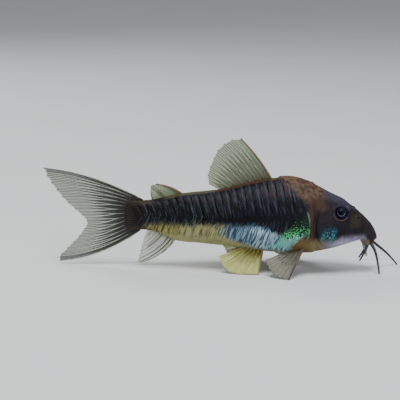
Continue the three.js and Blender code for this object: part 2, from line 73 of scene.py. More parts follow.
class Value:
    """One output of a material's node, so that shader maths reads as plain arithmetic."""

    def __init__(self, paint, socket):
        self.paint, self.socket = paint, socket

    def maths(self, operation, *others):
        sockets = dict(enumerate((self, *others)))
        return self.paint.node("ShaderNodeMath", {"operation": operation}, sockets)

    def __add__(self, other):
        return self.maths("ADD", other)

    __radd__ = __add__

    def __sub__(self, other):
        return self.maths("SUBTRACT", other)

    def __rsub__(self, other):
        return self.paint.node("ShaderNodeMath", {"operation": "SUBTRACT"}, {0: other, 1: self})

    def __mul__(self, other):
        return self.maths("MULTIPLY", other)

    __rmul__ = __mul__

    def __truediv__(self, other):
        return self.maths("DIVIDE", other)

    def __pow__(self, other):
        return self.maths("POWER", other)

    def __abs__(self):
        return self.maths("ABSOLUTE")

    def wave(self):
        return self.maths("SINE")

    def most(self, other):
        return self.maths("MAXIMUM", other)

    def least(self, other):
        return self.maths("MINIMUM", other)

    def fade(self, low, high):
        """0 below low, 1 above high and a smooth step between, whichever of the two is larger."""
        ends = (low, high, 0.0, 1.0) if high >= low else (high, low, 1.0, 0.0)
        settings = {"interpolation_type": "SMOOTHSTEP"}
        return self.paint.node("ShaderNodeMapRange", settings, dict(enumerate((self, *ends))))


class Paint:
    """A procedural finish, built node by node onto one principled shader."""

    def __init__(self, name):
        self.material = bpy.data.materials.new(name)
        self.material.use_nodes = True
        self.tree = self.material.node_tree
        self.shader = self.tree.nodes["Principled BSDF"]
        self.place = self.node("ShaderNodeTexCoord", {}, {}, "Object")

    def node(self, kind, settings, sockets, output=0):
        made = self.tree.nodes.new(kind)
        for key, setting in settings.items():
            setattr(made, key, setting)
        for key, entry in sockets.items():
            if isinstance(entry, Value):
                self.tree.links.new(entry.socket, made.inputs[key])
            else:
                made.inputs[key].default_value = entry
        return Value(self, made.outputs[output])

    def axes(self):
        """The three Object coordinates, in millimetres."""
        metres = [self.node("ShaderNodeSeparateXYZ", {}, {0: self.place}, k) for k in range(3)]
        return [m * 1000.0 for m in metres]

    def mark(self, name):
        """A value that the mesh carries at its vertices."""
        return self.node("ShaderNodeAttribute", {"attribute_name": name}, {}, "Fac")

    def noise(self, size, detail=3.0, at=None):
        """Smooth noise around 0.5 whose grains are about size millimetres across."""
        if at is None:
            at = self.node("ShaderNodeVectorMath", {"operation": "SCALE"}, {0: self.place, 3: 1000.0})
        sockets = {"Vector": at, "Scale": 1.0 / size, "Detail": detail, "Roughness": 0.55}
        return self.node("ShaderNodeTexNoise", {}, sockets, "Fac")

    def point(self, x, y, z):
        """A place put together from three values, for noise that is drawn out or sheared."""
        return self.node("ShaderNodeCombineXYZ", {}, {0: x, 1: y, 2: z})

    def mix(self, share, first, second):
        settings = {"data_type": "RGBA", "clamp_factor": True}
        return self.node("ShaderNodeMix", settings, {0: share, 6: first, 7: second}, 2)

    def bump(self, height, strength, distance):
        sockets = {"Height": height, "Strength": strength, "Distance": distance * MM}
        return self.node("ShaderNodeBump", {}, sockets)

    def set(self, **sockets):
        for key, entry in sockets.items():
            socket = self.shader.inputs[key.replace("_", " ")]
            if isinstance(entry, Value):
                self.tree.links.new(entry.socket, socket)
            else:
                socket.default_value = entry
        return self.material


def link(name, mesh_maker, material):
    """Makes the smooth mesh of a bmesh filled by mesh_maker, in an object that sits at the origin."""
    shape = bmesh.new()
    mesh_maker(shape)
    bmesh.ops.recalc_face_normals(shape, faces=shape.faces)
    mesh = bpy.data.meshes.new(name)
    shape.to_mesh(mesh)
    shape.free()
    mesh.polygons.foreach_set("use_smooth", [True] * len(mesh.polygons))
    mesh.materials.append(material)
    piece = bpy.data.objects.new(name, mesh)
    bpy.context.scene.collection.objects.link(piece)
    return piece


def moved(verts, places):
    """Moves bmesh vertices to places in millimetres."""
    for vert, place in zip(verts, places * MM):
        vert.co = place


floor_paint = Paint("pale_floor")
floor_grain = floor_paint.noise(60.0)
floor_tone = floor_paint.mix(floor_grain, rgb(212, 213, 214), rgb(220, 221, 222))
floor_paint.set(Base_Color=floor_tone, Roughness=0.85)
FLOOR_REACH, FLOOR_LEVEL, FLOOR_RISE = 3000.0, 900.0, 0.00012


def floor_sheet(shape):
    bmesh.ops.create_grid(shape, x_segments=90, y_segments=90, size=1.0)
    co = np.array([v.co[:] for v in shape.verts]) * FLOOR_REACH
    past = np.maximum(np.hypot(co[:, 0], co[:, 1]) - FLOOR_LEVEL, 0.0)
    moved(shape.verts, np.column_stack([co[:, 0], co[:, 1], past**2 * FLOOR_RISE]))


floor = link("floor", floor_sheet, floor_paint.material)


def lamp(name, place, aim, size, power, colour=(1.0, 1.0, 1.0)):
    light = bpy.data.lights.new(name, "AREA")
    light.shape = "DISK"
    light.size, light.energy, light.color = size, power, colour
    stand = bpy.data.objects.new(name, light)
    stand.location = place
    stand.rotation_mode = "QUATERNION"
    stand.rotation_quaternion = (Vector(aim) - Vector(place)).to_track_quat("-Z", "Y")
    bpy.context.scene.collection.objects.link(stand)


lamp("overhead_lamp", (0.02, -0.10, 0.55), (0.0, 0.0, 0.01), 0.35, 3.1)
lamp("front_lamp", (0.30, -0.50, 0.22), (0.0, 0.0, 0.015), 0.30, 1.3, (0.96, 0.98, 1.0))
lamp("back_lamp", (-0.35, 0.40, 0.35), (0.0, 0.0, 0.015), 0.30, 1.4)
room = bpy.data.worlds.new("pale_room")
room.use_nodes = True
room.node_tree.nodes["Background"].inputs["Color"].default_value = (0.80, 0.83, 0.86, 1.0)
room.node_tree.nodes["Background"].inputs["Strength"].default_value = 0.42
bpy.context.scene.world = room

# --- Body skin ----------------------------------------------------------------------------------
# Head, trunk and tail stem are one skin of living tissue over bone, with no seam between them.
# The gill cover, the shoulder and nape shields, the eye rims, nostrils and lips are raised in it.


def curve_through(stations):
    """A smooth curve through [x, value] stations, level with the chord at each end."""
    xs, values = np.array(stations, float).T
    chords = np.diff(values) / np.diff(xs)
    slopes = np.concatenate([chords[:1], (chords[1:] + chords[:-1]) / 2, chords[-1:]])

    def at(x):
        x = np.clip(x, xs[0], xs[-1])
        i = np.clip(np.searchsorted(xs, x, side="right") - 1, 0, len(xs) - 2)
        width = xs[i + 1] - xs[i]
        t = (x - xs[i]) / width
        start = (2 * t**3 - 3 * t**2 + 1) * values[i] + (t**3 - 2 * t**2 + t) * width * slopes[i]
        return start + (3 * t**2 - 2 * t**3) * values[i + 1] + (t**3 - t**2) * width * slopes[i + 1]

    return at


back_height = curve_through(
    [[-24, 16.2], [-17, 16.4], [-9.3, 18.1], [0, 19.3], [7, 21.0], [13, 22.2], [17.5, 22.35], [21.7, 21.15]]
    + [[26.5, 18.65], [30.2, 16.85], [33.8, 14.15], [36.3, 11.7], [38.4, 9.2]]
)
belly_height = curve_through(
    [[-24, 8.6], [-17.5, 8.9], [-14.5, 8.1], [-10.8, 6.5], [-5, 6.0], [2.5, 5.45], [10, 4.6], [17, 4.35]]
    + [[23, 4.7], [28, 5.75], [32.8, 7.2], [34.6, 7.75], [36.3, 7.2], [38.4, 6.9]]
)
half_width = curve_through(
    [[-24, 1.1], [-17, 2.25], [-9, 3.95], [0, 5.55], [8, 6.8], [15, 7.6], [20, 7.85], [25, 7.1]]
    + [[29, 6.05], [33, 4.45], [36, 2.95], [38.4, 2.0]]
)
widest_share = curve_through([[-24, 0.5], [-8, 0.47], [5, 0.42], [18, 0.36], [28, 0.42], [38.4, 0.45]])
upper_power = curve_through([[-24, 2.0], [-5, 1.8], [12, 1.72], [22, 1.9], [30, 2.25], [38.4, 2.1]])
lower_power = curve_through([[-24, 2.0], [-8, 2.1], [8, 2.6], [22, 2.7], [32, 2.5], [38.4, 2.1]])
lateral_line = curve_through([[-24, 12.7], [-9, 12.6], [0, 12.6], [10, 13.1], [22, 14.2]])
SNOUT_TIP, NOSE_FROM, STEM_FROM, STEM_END = 38.0, 36.3, -21.6, -23.4


def step(low, high, value):
    """0 below low, 1 above high and a smooth step between; low may be the larger."""
    t = np.clip((value - low) / (high - low), 0, 1)
    return t * t * (3 - 2 * t)


def skin_point(x, angle, lift=0.0):
    """A point of the skin: angle 0 is the left side, 90 degrees the back and -90 the belly."""
    top, bottom = back_height(x), belly_height(x)
    widest = bottom + (top - bottom) * widest_share(x)
    past_nose = (x - NOSE_FROM) / (SNOUT_TIP - NOSE_FROM)
    past_stem = (STEM_FROM - x) / (STEM_FROM - STEM_END)
    rounding = np.sqrt(1 - np.clip(np.maximum(past_nose, past_stem), 0, 1) ** 2)
    across, upward = np.cos(angle), np.sin(angle)
    power = 2 / np.where(upward > 0, upper_power(x), lower_power(x))
    reach = np.where(upward > 0, top - widest, widest - bottom) + lift
    wide = (half_width(x) + lift) * rounding * (1.0 - 0.6 * step(-19.4, -22.8, x))
    y = np.sign(across) * np.abs(across) ** power * wide
    z = widest + np.sign(upward) * np.abs(upward) ** power * reach * rounding
    return np.stack(np.broadcast_arrays(x, y, z), axis=-1)


def angle_at(x, height):
    """The angle at which the left side's skin reaches a height."""
    top, bottom = back_height(x), belly_height(x)
    widest = bottom + (top - bottom) * widest_share(x)
    above = height > widest
    share = np.abs(height - widest) / np.where(above, top - widest, widest - bottom)
    power = np.where(above, upper_power(x), lower_power(x)) / 2
    return np.arcsin(np.minimum(1, share) ** power) * np.where(above, 1, -1)


def bell(distance, width):
    return np.exp(-((distance / width) ** 2))


EYE_X, EYE_HEIGHT = 29.4, 14.75
NOSTRILS = [(33.5, 13.35, 0.42), (31.95, 15.0, 0.38)]
FLAP = (32.5, 14.7)
LIP_CORNER = np.array([35.6, 1.9, 6.95])
LIP_FRONT = 34.35


def skin_relief(x, angle, place):
    """How far the finished skin stands above or below the plain body, in millimetres."""
    y, z = np.abs(place[..., 1]), place[..., 2]
    mirrored = np.stack([place[..., 0], y, z], axis=-1)
    # Gill cover, with a free edge over a groove.
    share = (z - 7.3) / 8.3
    edge = x - (23.3 + 1.5 * np.abs(2 * share - 1) ** 2.2)
    band = step(6.3, 7.6, z) * step(16.4, 15.2, z)
    lift = 0.4 * step(0.0, 0.4, edge) * step(28.6, 24.0, x - 0.36 * (11 - z)) * band
    lift = lift - 0.16 * bell(edge + 0.28, 0.3) * band
    # Shoulder shield behind the gill opening.
    share = np.clip((z - 5.2) / 12.0, 0, 1)
    edge = x - (19.4 - 4.6 * (1 - share) ** 3 + 1.1 * share**2)
    lift = lift + 0.36 * step(0.0, 0.2, edge) * step(23.4, 22.4, x) * step(4.9, 5.4, z) * step(17.6, 17.1, z)
    # Nape shield in front of the dorsal spine, and the roof of the skull in front of it.
    off_top = np.degrees(np.abs(np.abs(angle) - np.pi / 2)) * np.where(np.sin(angle) > 0, 1, 99)
    edge = x - (14.0 + 3.4 * np.minimum(1.5, off_top / 30) ** 1.5)
    lift = lift + 0.34 * step(0.0, 0.25, edge) * step(23.0, 22.2, x) * step(33, 29, off_top)
    roof = 46 - 1.8 * (x - 22)
    lift = lift + 0.22 * step(21.8, 22.6, x) * step(31.2, 29.6, x) * step(roof + 2, roof - 4, off_top)
    # Eye sockets with a raised rim.
    centre = skin_point(EYE_X, angle_at(EYE_X, EYE_HEIGHT))
    away = np.linalg.norm(mirrored - centre, axis=-1)
    lift = lift + 0.30 * bell(away - 1.78, 0.3) - 0.75 * step(1.62, 1.2, away)
    # Nostrils: a pit with a low rim, and a small flap between the two.
    for nx, nz, radius in NOSTRILS:
        centre = skin_point(nx, angle_at(nx, nz))
        away = np.linalg.norm(mirrored - centre, axis=-1)
        lift = lift + 0.2 * bell(away - radius, 0.16) - 0.4 * step(radius, radius * 0.45, away)
    flap = np.abs(mirrored - skin_point(FLAP[0], angle_at(*FLAP))) * [2.0, 1.0, 1.0]
    lift = lift + 0.5 * bell(np.linalg.norm(flap, axis=-1), 0.45)
    # Mouth: a fleshy lower lip bent back under the snout, the slit above it and the upper lip.
    under = step(0.0, -0.35, np.sin(angle))
    bend = LIP_FRONT + (LIP_CORNER[0] - LIP_FRONT) * np.minimum(1.4, y / LIP_CORNER[1]) ** 2
    across = step(2.7, 2.0, y) * under
    lift = lift + 1.05 * bell(x - bend, 0.42) * across
    lift = lift - 0.5 * bell(x - bend - 0.86, 0.24) * step(2.1, 1.6, y) * under
    lift = lift + 0.35 * bell(x - bend - 1.6, 0.42) * across
    lobe = np.linalg.norm(mirrored - np.array([36.0, 1.85, 7.2]), axis=-1)
    return lift + 0.75 * bell(lobe, 0.8) * step(0.35, -0.1, np.sin(angle))


nose_run = NOSE_FROM + (SNOUT_TIP - NOSE_FROM) * np.sin(np.radians(90) * np.arange(1, 27) / 26)
stem_run = STEM_FROM - (STEM_FROM - STEM_END) * np.sin(np.radians(90) * np.arange(14, 0, -1) / 14)
GILL_FRONT = 21.9  # from here on the skin's rings lie closer, for the head's finer forms
SKIN_STATIONS = np.concatenate(
    [stem_run, np.arange(STEM_FROM, GILL_FRONT, 0.25), np.arange(GILL_FRONT, NOSE_FROM, 0.13), nose_run]
)
SKIN_SIDES = 196


def round_grid(shape, sides, rows):
    """A closed skin of rows between two poles; gives each new vertex's row and turn."""
    made = bmesh.ops.create_uvsphere(shape, u_segments=sides, v_segments=rows, radius=1.0)["verts"]
    co = np.array([v.co[:] for v in made])
    row = np.rint(np.arccos(np.clip(-co[:, 2], -1, 1)) / np.pi * rows).astype(int)
    return made, row, np.arctan2(co[:, 1], co[:, 0])


def body_mesh(shape):
    made, row, angle = round_grid(shape, SKIN_SIDES, len(SKIN_STATIONS) - 1)
    x = SKIN_STATIONS[row]
    moved(made, skin_point(x, angle, skin_relief(x, angle, skin_point(x, angle))))


# The colours of the living skin: near-black flanks, brown nape and back, gold, silver-blue and cream
# below, a green and turquoise sheen on the shoulder, teal on the gill cover and a lilac chin.
STEM_MIDDLE = 12.6  # height of the middle of the tail stem
RAY_FAN_FROM = -10.0  # x of the place from which the lines on the stem's end fan out


def fish_tones(paint):
    """The skin's colour, as one function of the place on the fish, for skin and plates alike."""
    x, y, z = paint.axes()
    side = abs(y)
    cloud = paint.noise(3.4, 3.0)
    blotch = paint.noise(1.1, 3.0)
    speck = paint.noise(0.30, 2.0)
    # Fine hairlines that lean back from the lateral line, above it and below it.
    hair = paint.noise(0.34, 3.0, paint.point(x + abs(z - 13.4) * 0.38, y * 0.2, z * 0.10))
    ragged = (hair - 0.5) * 4.4 + (blotch - 0.5) * 0.9

    night = paint.mix(cloud.fade(0.35, 0.7), rgb(5, 5, 11), rgb(11, 12, 21))
    # Painted highlight: the pale hairlines are the fish's own, but they grow stronger towards the upper front
    # of the back, where the light falls.
    upper_front_highlight = x.fade(-4.0, 8.0) * z.fade(13.5, 17.5)
    night = paint.mix(hair.fade(0.48, 0.72) * (upper_front_highlight * 0.38 + 0.07), night, rgb(66, 72, 98))
    rear_light = x.fade(4.0, -3.0) * (1.0 - z.fade(15.2, 16.6))
    rear_hair = hair.fade(0.5, 0.64) * speck.fade(0.4, 0.56) * rear_light
    night = paint.mix(rear_hair * 0.55, night, rgb(74, 92, 86))
    night = paint.mix(hair.fade(0.5, 0.3) * 0.5, night, rgb(5, 5, 8))
    shade = (z + cloud * 2.0).fade(18.4, 20.0) * x.fade(8.0, 13.0) * blotch.fade(0.4, 0.6)
    tone = paint.mix(shade * 0.4, night, rgb(58, 38, 38))

    # Lower flank: gold at the tail, olive in the middle, silver-blue streaks under the dorsal fin and
    # brown over the pectoral fin.
    gold = paint.mix(hair.fade(0.56, 0.42), rgb(150, 143, 84), rgb(72, 67, 42))
    olive = paint.mix(hair.fade(0.54, 0.40), rgb(152, 150, 104), rgb(96, 93, 64))
    steel = paint.mix(hair.fade(0.58, 0.43), rgb(132, 162, 182), rgb(40, 64, 82))
    silver = paint.mix(hair.fade(0.57, 0.42), rgb(164, 192, 208), rgb(46, 76, 94))
    drift = x + (blotch - 0.5) * 5.0
    light = paint.mix(drift.fade(-11.0, -5.5), gold, olive)
    light = paint.mix(drift.fade(-0.5, 3.5), light, steel)
    light = paint.mix(drift.fade(6.5, 9.5), light, silver)
    light = paint.mix(drift.fade(16.4, 18.4), light, rgb(88, 72, 50))
    belly = paint.mix(cloud.fade(0.3, 0.7), rgb(156, 153, 104), rgb(134, 130, 88))
    belly = paint.mix(x.fade(6.0, 12.0), belly, rgb(130, 140, 118))
    belly = paint.mix(x.fade(16.0, 19.0), belly, rgb(112, 98, 66))
    belly_top = 8.3 - x.fade(0.0, 12.0) * 2.8
    light = paint.mix((z - belly_top + ragged * 0.3).fade(0.7, -0.7), light, belly)
    border = x * 0.03 + 11.35 - x.fade(9.0, 18.0) * 2.7
    low = (z - border + ragged * 1.25).fade(0.6, -0.6)
    tone = paint.mix(low, tone, light)

    # Root of the tail: very dark, then brown with lines that lead into the fin's rays.
    tone = paint.mix((x + ragged * 0.8).fade(-16.8, -19.2), tone, rgb(18, 15, 15))
    streaks = ((z - STEM_MIDDLE) / (RAY_FAN_FROM - x) * 137.0 + blotch).wave().fade(0.1, 0.9)
    stem_end = paint.mix(streaks * 0.55, rgb(30, 25, 22), rgb(72, 68, 58))
    tone = paint.mix((x + ragged * 0.5).fade(-19.6, -22.4), tone, stem_end)
    edge_brown = (abs(z - STEM_MIDDLE) + ragged * 0.3).fade(2.2, 3.4) * x.fade(-14.0, -19.0)
    tone = paint.mix(edge_brown * 0.7, tone, rgb(60, 50, 34))

    # Sheen of the shoulder: speckled green, turquoise below, with a pale line along its rear edge.
    lean = x - z * 0.945 - 6.5 + ragged * 0.9
    rim_x = x + (z - 12.0) * (z - 12.0) * 0.06
    sheen_place = lean.fade(-0.9, 0.7) * rim_x.fade(22.4, 22.0) * (z + ragged * 0.4).fade(16.0, 14.4)
    sheen_foot = z - (x - 16.4).most(0.0) * 0.8 + ragged * 0.5
    sheen_place = sheen_place * sheen_foot.fade(5.6, 6.9) * side.fade(3.0, 5.0)
    green = (z + (x - 18.0) * -0.25 + ragged * 0.5).fade(8.4, 10.2)
    sheen = paint.mix(green, rgb(132, 206, 196), rgb(80, 176, 108))
    sheen = paint.mix(x.fade(20.4, 21.4) * z.fade(10.4, 9.0) * 0.7, sheen, rgb(60, 178, 152))
    sheen = paint.mix(hair.fade(0.6, 0.45) * z.fade(9.8, 8.2) * 0.5, sheen, rgb(74, 132, 130))
    black = (speck + (z - 9.9) * 0.06).fade(0.47, 0.54)
    sheen = paint.mix(black, sheen, paint.mix(cloud, rgb(12, 20, 18), rgb(22, 36, 28)))
    tone = paint.mix(sheen_place, tone, sheen)
    pale_line = rim_x.fade(21.7, 21.95) * rim_x.fade(22.35, 22.1) * z.fade(8.2, 9.4) * z.fade(15.6, 14.8)
    tone = paint.mix(pale_line * blotch.fade(0.35, 0.55) * 0.45, tone, rgb(112, 148, 122))

    # Strip of skin at the gill opening, brown and then dark.
    strip = rim_x.fade(22.0, 22.5) * x.fade(25.2, 24.2) * z.fade(7.6, 8.6) * z.fade(16.8, 15.2)
    strip_tone = paint.mix((x + ragged * 0.4).fade(22.7, 23.5), rgb(56, 38, 31), rgb(22, 20, 23))
    tone = paint.mix(strip, tone, strip_tone)

    # Head: dark purple-brown cheeks, a painted slate-grey highlight along the top, an olive cast before the
    # eye.
    head_place = x.fade(23.4, 24.8)
    head = paint.mix(cloud.fade(0.35, 0.65), rgb(14, 12, 20), rgb(26, 21, 28))
    head = paint.mix(speck.fade(0.52, 0.7) * 0.3, head, rgb(72, 58, 60))
    olive_cast = x.fade(31.0, 32.2) * x.fade(35.0, 33.6) * z.fade(10.4, 11.6) * z.fade(14.6, 13.6)
    head = paint.mix(olive_cast * 0.45, head, rgb(60, 54, 40))
    # Painted highlight: slate grey along the top of the head, where the light from above falls.
    crown_highlight = (z + x * 0.36 - 27.1 + (blotch - 0.5) * 1.2).fade(-0.8, 0.7)
    head = paint.mix(crown_highlight * 0.8, head, rgb(56, 56, 72))
    tone = paint.mix(head_place, tone, head)

    # Pale thin skin on the rim round the eye.
    ahead, above = x - EYE_X, z - EYE_HEIGHT
    from_eye = (ahead * ahead + above * above * 1.15) ** 0.5
    eye_rim = from_eye.fade(1.62, 1.78) * from_eye.fade(2.02, 1.86)
    eye_rim = eye_rim * (blotch - z * 0.05 + 0.74).fade(0.4, 0.6)
    tone = paint.mix(eye_rim * 0.4, tone, rgb(112, 96, 106))

    # Brown mottled nape, down to the top of the gill opening.
    nape_place = (z + x * 0.86 - 35.0 + ragged * 0.8).fade(-1.0, 1.4) * z.fade(14.6, 16.2)
    nape_place = nape_place * (x + z * 0.25 + cloud).fade(31.8, 29.2)
    nape = paint.mix(blotch.fade(0.36, 0.62), rgb(58, 40, 37), rgb(98, 78, 58))
    nape = paint.mix(speck.fade(0.54, 0.68) * 0.3, nape, rgb(38, 28, 26))
    nape = paint.mix(cloud.fade(0.44, 0.62) * 0.6, nape, rgb(66, 45, 40))
    nape = paint.mix((z + cloud * 2.0).fade(19.6, 18.0), nape, rgb(62, 42, 33))
    tone = paint.mix(nape_place * 0.92, tone, nape)

    # Gill cover: deep blue-green low down, with bright cyan flecks at its front.
    teal = (x + ragged * 0.3).fade(23.8, 24.8) * (x + ragged * 0.3).fade(28.9, 27.8)
    teal = teal * z.fade(6.9, 7.6) * (z + ragged * 0.4).fade(12.8, 10.6)
    tone = paint.mix(teal * 0.85, tone, rgb(14, 37, 47))
    flecks = teal * (x - (z - 9.0) * 0.5 + ragged * 0.4).fade(23.9, 25.6) * z.fade(12.2, 9.6)
    flecks = flecks * (speck * 0.6 + hair * 0.4).fade(0.50, 0.56)
    tone = paint.mix(flecks * 0.75, tone, rgb(70, 142, 156))

    # Throat, chin and lips.
    throat = (z + ragged * 0.4).fade(9.6, 7.2) * x.fade(16.0, 19.8) * x.fade(28.4, 24.4)
    front_throat = paint.mix(blotch, rgb(98, 82, 56), rgb(126, 118, 80))
    tone = paint.mix(throat * 0.9, tone, paint.mix(x.fade(21.0, 23.0), rgb(102, 82, 48), front_throat))
    chin_top = x.fade(26.8, 30.0) * 1.6 + 7.4
    chin = paint.mix((z + (blotch - 0.5) * 1.6).fade(9.8, 7.0), rgb(82, 74, 92), rgb(150, 144, 168))
    chin = paint.mix(hair.fade(0.5, 0.65) * x.fade(27.0, 30.0) * 0.5, chin, rgb(190, 186, 200))
    chin_place = (z - chin_top + ragged * 0.45).fade(1.1, -0.8) * (x + ragged * 0.5).fade(23.6, 28.6)
    tone = paint.mix(chin_place, tone, chin)
    nose = (x + (z - 7.0) * 0.25).fade(35.4, 36.2)
    tone = paint.mix(nose, tone, paint.mix(cloud, rgb(28, 22, 29), rgb(42, 34, 38)))
    lip = x.fade(34.0, 34.5) * x.fade(36.4, 35.9) * z.fade(8.4, 7.6)
    tone = paint.mix(lip * 0.8, tone, rgb(112, 106, 68))

    # Bare strip along the back: olive behind, orange-brown and jagged under the dorsal fin.
    strip_place = (side + (hair - 0.5) * 1.6).fade(1.7, 0.9) * z.fade(16.0, 17.0) * x.fade(15.0, 13.0)
    back_tone = paint.mix(x.fade(-2.5, 0.5), rgb(72, 65, 46), rgb(70, 50, 32))
    tone = paint.mix(strip_place * x.fade(-15.0, -12.0), tone, back_tone)
    return tone, hair, blotch, speck


skin_paint = Paint("living_skin")
skin_tone, _, skin_blotch, skin_speck = fish_tones(skin_paint)
skin_bump = skin_paint.bump(skin_blotch * 0.4 + skin_speck * 0.6, 0.35, 0.10)
skin_paint.set(
    Base_Color=skin_tone,
    Roughness=0.48 + skin_speck * 0.2,
    Coat_Weight=0.04,
    Coat_Roughness=0.30,
    Normal=skin_bump,
    Specular_IOR_Level=0.13,
)
body = link("body_skin", body_mesh, skin_paint.material)
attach(body, "root")
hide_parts("head", "trunk", "tail_stem")

# --- Scutes -------------------------------------------------------------------------------------
# Two rows of thin bony plates on each flank, over and under the lateral line.
# Each grows out of the skin at its front edge and overlaps the plate behind with a free edge.
SCUTE_RISE, SCUTE_SUNK = 0.26, 0.12
SCUTE_OVERLAP = 0.5
SCUTE_THICK = 0.42
SCUTE_SLANT, SCUTE_BULGE = 2.0, 0.3
BACK_STRIP = 1.0
belly_edge = curve_through([[-24, 9.0], [-18, 9.6], [-10.5, 7.3], [0, 6.6], [8, 6.2], [18, 6.4]])
UPPER_ROW = dict(first=20.4, last=-20.1, count=22, across=20)
LOWER_ROW = dict(first=17.2, last=-20.1, count=20, across=14)


def strip_angle(x):
    share = np.minimum(0.95, BACK_STRIP / half_width(x))
    return np.arccos(share ** (upper_power(x) / 2))


def scute_mesh(row, side, is_upper):
    def fill(shape):
        edge_mark = shape.verts.layers.float.new("edge")
        pitch = (row["first"] - row["last"]) / row["count"]
        chance = np.random.default_rng(11 if is_upper else 12)
        for i in range(row["count"]):
            begin = row["first"] - i * pitch
            seen = len(shape.verts)
            bmesh.ops.create_grid(shape, x_segments=8, y_segments=row["across"], size=1.0)
            shape.verts.ensure_lookup_table()
            made = shape.verts[seen:]
            co = np.array([v.co[:] for v in made])
            along, share = (co[:, 0] + 1) / 2, (co[:, 1] + 1) / 2
            bend = -SCUTE_SLANT * share**1.4
            front = begin + SCUTE_OVERLAP + bend
            comb = 0.05 * np.sin(share * 40 + i) + 0.04 * chance.standard_normal()
            rear = begin - pitch + bend - SCUTE_BULGE * np.sin(np.pi * share) + comb
            x = front + (rear - front) * along
            low_end = angle_at(x, lateral_line(x))
            far_end = strip_angle(x) if is_upper else angle_at(x, belly_edge(x))
            angle = low_end + (far_end - low_end) * share
            fall = 0.05 + 0.95 * np.minimum(1, np.minimum(3 * share, 5 * (1 - share)))
            lift = -SCUTE_SUNK + (SCUTE_RISE + SCUTE_SUNK) * np.sin(np.pi / 2 * along) ** 1.2
            lift = lift * np.where(lift > 0, fall, 1.0) - 0.05 * step(0.93, 1.0, along)
            lift = lift - 0.15 * step(0.10, 0.0, share)
            if not is_upper:
                lift = lift * (1.0 - step(0.55, 1.0, share)) - 0.12 * step(0.85, 1.0, share)
            if side < 0:
                angle = np.pi - angle
            moved(made, skin_point(x, angle, lift))
            for vert, mark in zip(made, along):
                vert[edge_mark] = float(mark)
            new_faces = list({f for v in made for f in v.link_faces})
            bmesh.ops.recalc_face_normals(shape, faces=new_faces)
            if sum(f.normal.y for f in new_faces) * side < 0:
                bmesh.ops.reverse_faces(shape, faces=new_faces)
            bmesh.ops.solidify(shape, geom=new_faces, thickness=SCUTE_THICK * MM)

    return fill


plate_paint = Paint("scute_plates")
plate_edge = plate_paint.mark("edge")
plate_tone, plate_hair, plate_blotch, plate_speck = fish_tones(plate_paint)
rim = plate_edge.fade(0.78, 0.93) * plate_edge.fade(1.0, 0.97)
plate_tone = plate_paint.mix(rim * plate_hair.fade(0.4, 0.7) * 0.26, plate_tone, rgb(80, 86, 106))
middle_line = plate_edge.fade(0.40, 0.47) * plate_edge.fade(0.56, 0.49)
plate_tone = plate_paint.mix(middle_line * plate_hair.fade(0.35, 0.6) * 0.3, plate_tone, rgb(84, 90, 110))
# Painted shade: darker towards the plate's front, just behind the free edge of the plate ahead that overlaps
# it.
plate_tone = plate_paint.mix(plate_edge.fade(0.4, 0.15) * 0.15, plate_tone, rgb(7, 7, 11))
plate_bump = plate_paint.bump(plate_hair * 0.7 + plate_speck * 0.3, 0.45, 0.10)
plate_paint.set(
    Base_Color=plate_tone,
    Roughness=0.46 + plate_blotch * 0.2,
    Coat_Weight=0.04,
    Coat_Roughness=0.30,
    Normal=plate_bump,
    Specular_IOR_Level=0.12,
)
for side, side_name in ((1, "left"), (-1, "right")):
    for row, is_upper, row_name in ((UPPER_ROW, True, "upper"), (LOWER_ROW, False, "lower")):
        plate_maker = scute_mesh(row, side, is_upper)
        plates = link(f"{row_name}_scutes_{side_name}", plate_maker, plate_paint.material)
        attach(plates, "root")

# --- Fins ---------------------------------------------------------------------------------------
# Clear skin stretched over bony rays. The first ray is a stout spine; the others are soft, made of
# short segments, and fork twice before the margin. The roots are held in muscle under the skin.
RAY_POINTS = 31
FULL_TURN = 2 * np.pi
WET = dict(Coat_Weight=0.1, Coat_Roughness=0.3, Specular_IOR_Level=0.35)


def smooth_path(points):
    """A smooth curve through three points or more, as a function of the share of its length."""
    points = np.array(points, float)
    gaps = np.sqrt(np.linalg.norm(np.diff(points, axis=0), axis=1))
    knots = np.concatenate([[0], np.cumsum(gaps)])
    chords = np.diff(points, axis=0) / gaps[:, None]
    weights = gaps[:, None]
    inner = (chords[1:] * weights[:-1] + chords[:-1] * weights[1:]) / (weights[1:] + weights[:-1])
    first = 1.5 * chords[:1] - 0.5 * inner[:1]
    last = 1.5 * chords[-1:] - 0.5 * inner[-1:]
    slopes = np.concatenate([first, inner, last])

    def raw(t):
        t = np.clip(t, knots[0], knots[-1])
        i = np.clip(np.searchsorted(knots, t, side="right") - 1, 0, len(knots) - 2)
        width = (knots[i + 1] - knots[i])[..., None]
        u = ((t - knots[i])[..., None]) / width
        start = (2 * u**3 - 3 * u**2 + 1) * points[i] + (u**3 - 2 * u**2 + u) * width * slopes[i]
        return start + (3 * u**2 - 2 * u**3) * points[i + 1] + (u**3 - u**2) * width * slopes[i + 1]

    fine = np.linspace(knots[0], knots[-1], 400)
    steps = np.linalg.norm(np.diff(raw(fine), axis=0), axis=1)
    length = np.concatenate([[0], np.cumsum(steps)])
    return lambda share: raw(np.interp(np.asarray(share) * length[-1], length, fine))


def fin_place(fin):
    """The middle surface of a fin: a function of the share from first ray to last and along the rays."""
    roots, tips = smooth_path(fin["roots"]), smooth_path(fin["tips"])
    facing = np.array(fin["normal"], float)
    facing /= np.linalg.norm(facing)

    def at(share, along):
        share, along = np.broadcast_arrays(np.asarray(share, float), np.asarray(along, float))
        root, tip = roots(share), tips(share)
        sideways = np.cross(facing, tip - root)
        sideways /= np.linalg.norm(sideways, axis=-1, keepdims=True)
        bow = fin["bow"][0] + (fin["bow"][1] - fin["bow"][0]) * share
        bulge = (bow * 4 * along * (1 - along))[..., None]
        return root + (tip - root) * along[..., None] + sideways * bulge

    return at


